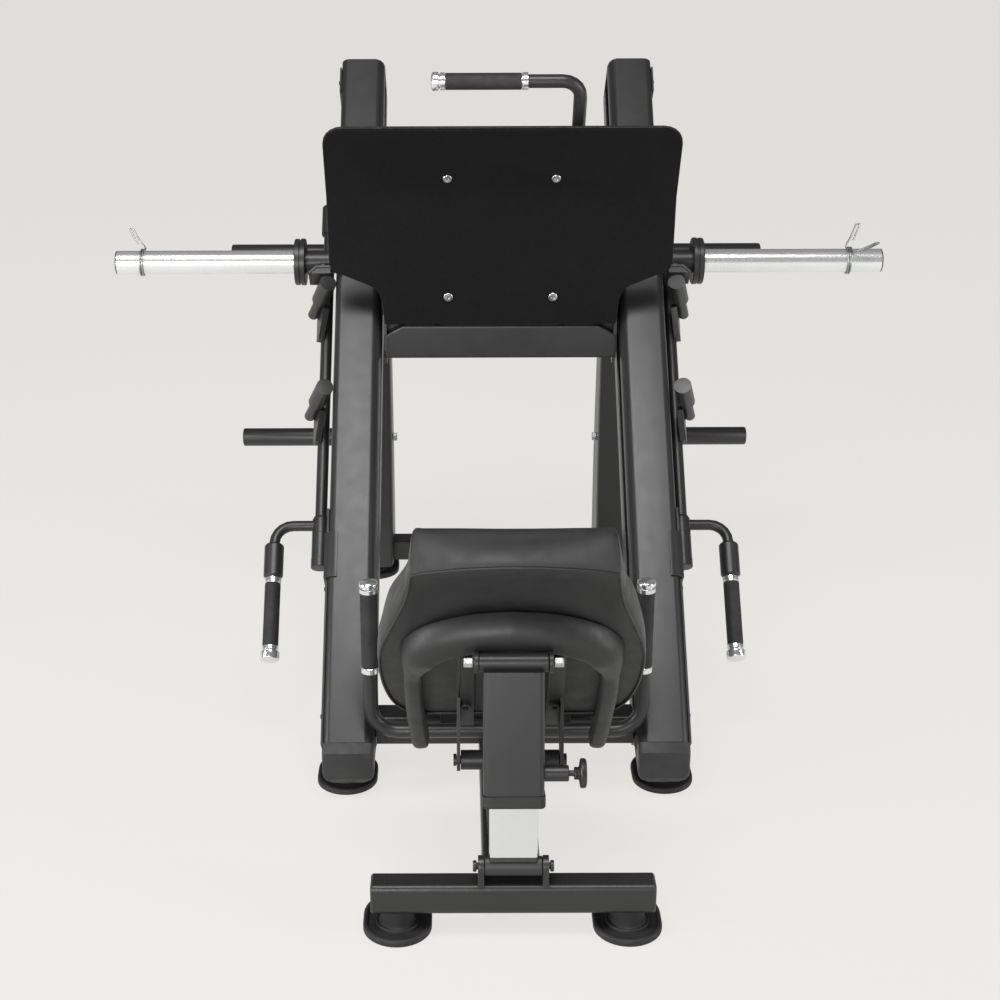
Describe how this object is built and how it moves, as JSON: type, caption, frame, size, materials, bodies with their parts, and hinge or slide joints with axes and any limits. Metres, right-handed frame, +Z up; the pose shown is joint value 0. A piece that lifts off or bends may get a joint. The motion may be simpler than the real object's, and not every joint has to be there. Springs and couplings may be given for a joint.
{
  "type": "inclined leg press machine",
  "caption": "Plate-loaded inclined leg press: a sled with a bent footplate and loading horns slides on two sloping columns over a reclining backrest, with turning safety catches.",
  "frame": {"origin": "on the floor, in the middle of the machine's footprint", "axes": "+Z up, +Y from the seat towards the high end of the columns, +X to the right of someone standing behind the backrest and looking along +Y"},
  "size_m": [1.644, 1.7006, 1.2839],
  "materials": {
    "frame_charcoal": "satin powder coat",
    "panel_black": "matt black cover",
    "rod_chrome": "polished plating",
    "grip_rubber": "plain black rubber sleeve",
    "foot_rubber": "moulded rubber",
    "pad_vinyl": "smooth dark grey upholstery",
    "shell_moulding": "fine-grained dark grey moulding",
    "mat_rubber": "fine textured black mat",
    "plate_steel": "satin powder coat",
    "bolt_steel": "zinc plated",
    "clip_wire": "bright spring wire",
    "knob_black": "smooth black"
  },
  "bodies": {
    "frame": {"left_rail_shroud": "frame_charcoal", "left_rail_channel": "frame_charcoal", "left_guide_rod": "rod_chrome", "left_side_panel": "panel_black", "left_column_foot": "foot_rubber", "left_rear_upright": "frame_charcoal", "left_rear_foot": "foot_rubber", "left_front_foot": "foot_rubber", "left_lower_storage_peg": "frame_charcoal", "left_upper_storage_peg": "frame_charcoal", "left_shaft_bracket": "frame_charcoal", "left_seat_handle_chrome": "rod_chrome", "left_seat_handle_grip": "grip_rubber", "right_rail_shroud": "frame_charcoal", "right_rail_channel": "frame_charcoal", "right_guide_rod": "rod_chrome", "right_side_panel": "panel_black", "right_column_foot": "foot_rubber", "right_rear_upright": "frame_charcoal", "right_rear_foot": "foot_rubber", "right_front_foot": "foot_rubber", "right_lower_storage_peg": "frame_charcoal", "right_upper_storage_peg": "frame_charcoal", "right_shaft_bracket": "frame_charcoal", "right_seat_handle_chrome": "rod_chrome", "right_seat_handle_grip": "grip_rubber", "base_frame": "frame_charcoal", "seat_cushion": "pad_vinyl", "upper_cross_tube": "frame_charcoal", "front_foot_bar": "frame_charcoal", "seat_handlebar": "frame_charcoal"},
    "carriage": {"carriage_frame": "frame_charcoal", "footplate_mat": "mat_rubber", "footplate_steel": "plate_steel", "sled_handle": "frame_charcoal", "sled_handle_chrome": "rod_chrome", "sled_handle_grip": "grip_rubber", "left_lower_plate_bolt": "bolt_steel", "left_upper_plate_bolt": "bolt_steel", "left_horn_arm": "frame_charcoal", "left_horn_sleeve": "rod_chrome", "right_lower_plate_bolt": "bolt_steel", "right_upper_plate_bolt": "bolt_steel", "right_horn_arm": "frame_charcoal", "right_horn_sleeve": "rod_chrome"},
    "left_safety": {"left_safety_shaft": "frame_charcoal", "left_lever_chrome": "rod_chrome", "left_lever_grip": "grip_rubber"},
    "left_clip": {"left_spring_clip": "clip_wire"},
    "right_safety": {"right_safety_shaft": "frame_charcoal", "right_lever_chrome": "rod_chrome", "right_lever_grip": "grip_rubber"},
    "right_clip": {"right_spring_clip": "clip_wire"},
    "backrest": {"backrest_cushion": "pad_vinyl", "backrest_shell": "shell_moulding", "backrest_frame": "frame_charcoal"},
    "post_lower": {"post_inner": "rod_chrome"},
    "post_upper": {"post_outer": "frame_charcoal", "post_collar": "knob_black"},
    "pull_pin": {"pull_pin": "knob_black"}
  },
  "joints": [
    {"name": "carriage_slide", "type": "slide", "parent": "frame", "child": "carriage", "axis": [0, 0.7071, 0.7071], "range_m": [0, 0.38]},
    {"name": "left_safety_swing", "type": "hinge", "parent": "frame", "child": "left_safety", "pos_m": [-0.3735, 0.07003, 0.35844], "axis": [0, -0.7071, -0.7071], "range_deg": [0, 80]},
    {"name": "right_safety_swing", "type": "hinge", "parent": "frame", "child": "right_safety", "pos_m": [0.3735, 0.07003, 0.35844], "axis": [0, 0.7071, 0.7071], "range_deg": [0, 80]},
    {"name": "left_clip_slide", "type": "slide", "parent": "carriage", "child": "left_clip", "axis": [1, 0, 0], "range_m": [0, 0.25]},
    {"name": "right_clip_slide", "type": "slide", "parent": "carriage", "child": "right_clip", "axis": [-1, 0, 0], "range_m": [0, 0.25]},
    {"name": "recline", "type": "hinge", "parent": "frame", "child": "backrest", "pos_m": [0, -0.5864, 0.204], "axis": [1, 0, 0], "range_deg": [-6, 6]},
    {"name": "post_swing", "type": "hinge", "parent": "frame", "child": "post_lower", "pos_m": [0, -0.8024, 0.128], "axis": [1, 0, 0], "range_deg": [-4.5, 4.5]},
    {"name": "post_slide", "type": "slide", "parent": "post_lower", "child": "post_upper", "axis": [0, 0.2261, 0.9741], "range_m": [-0.024, 0.024]},
    {"name": "pull_pin_slide", "type": "slide", "parent": "post_upper", "child": "pull_pin", "axis": [1, 0, 0], "range_m": [0, 0.012], "stiffness_N_per_m": 500, "springref_m": -0.004}
  ],
  "couplings": [
    {"joint": "post_swing", "follows": "recline", "ratio": 0.644},
    {"joint": "post_slide", "follows": "recline", "m_per_rad": -0.1932}
  ]
}
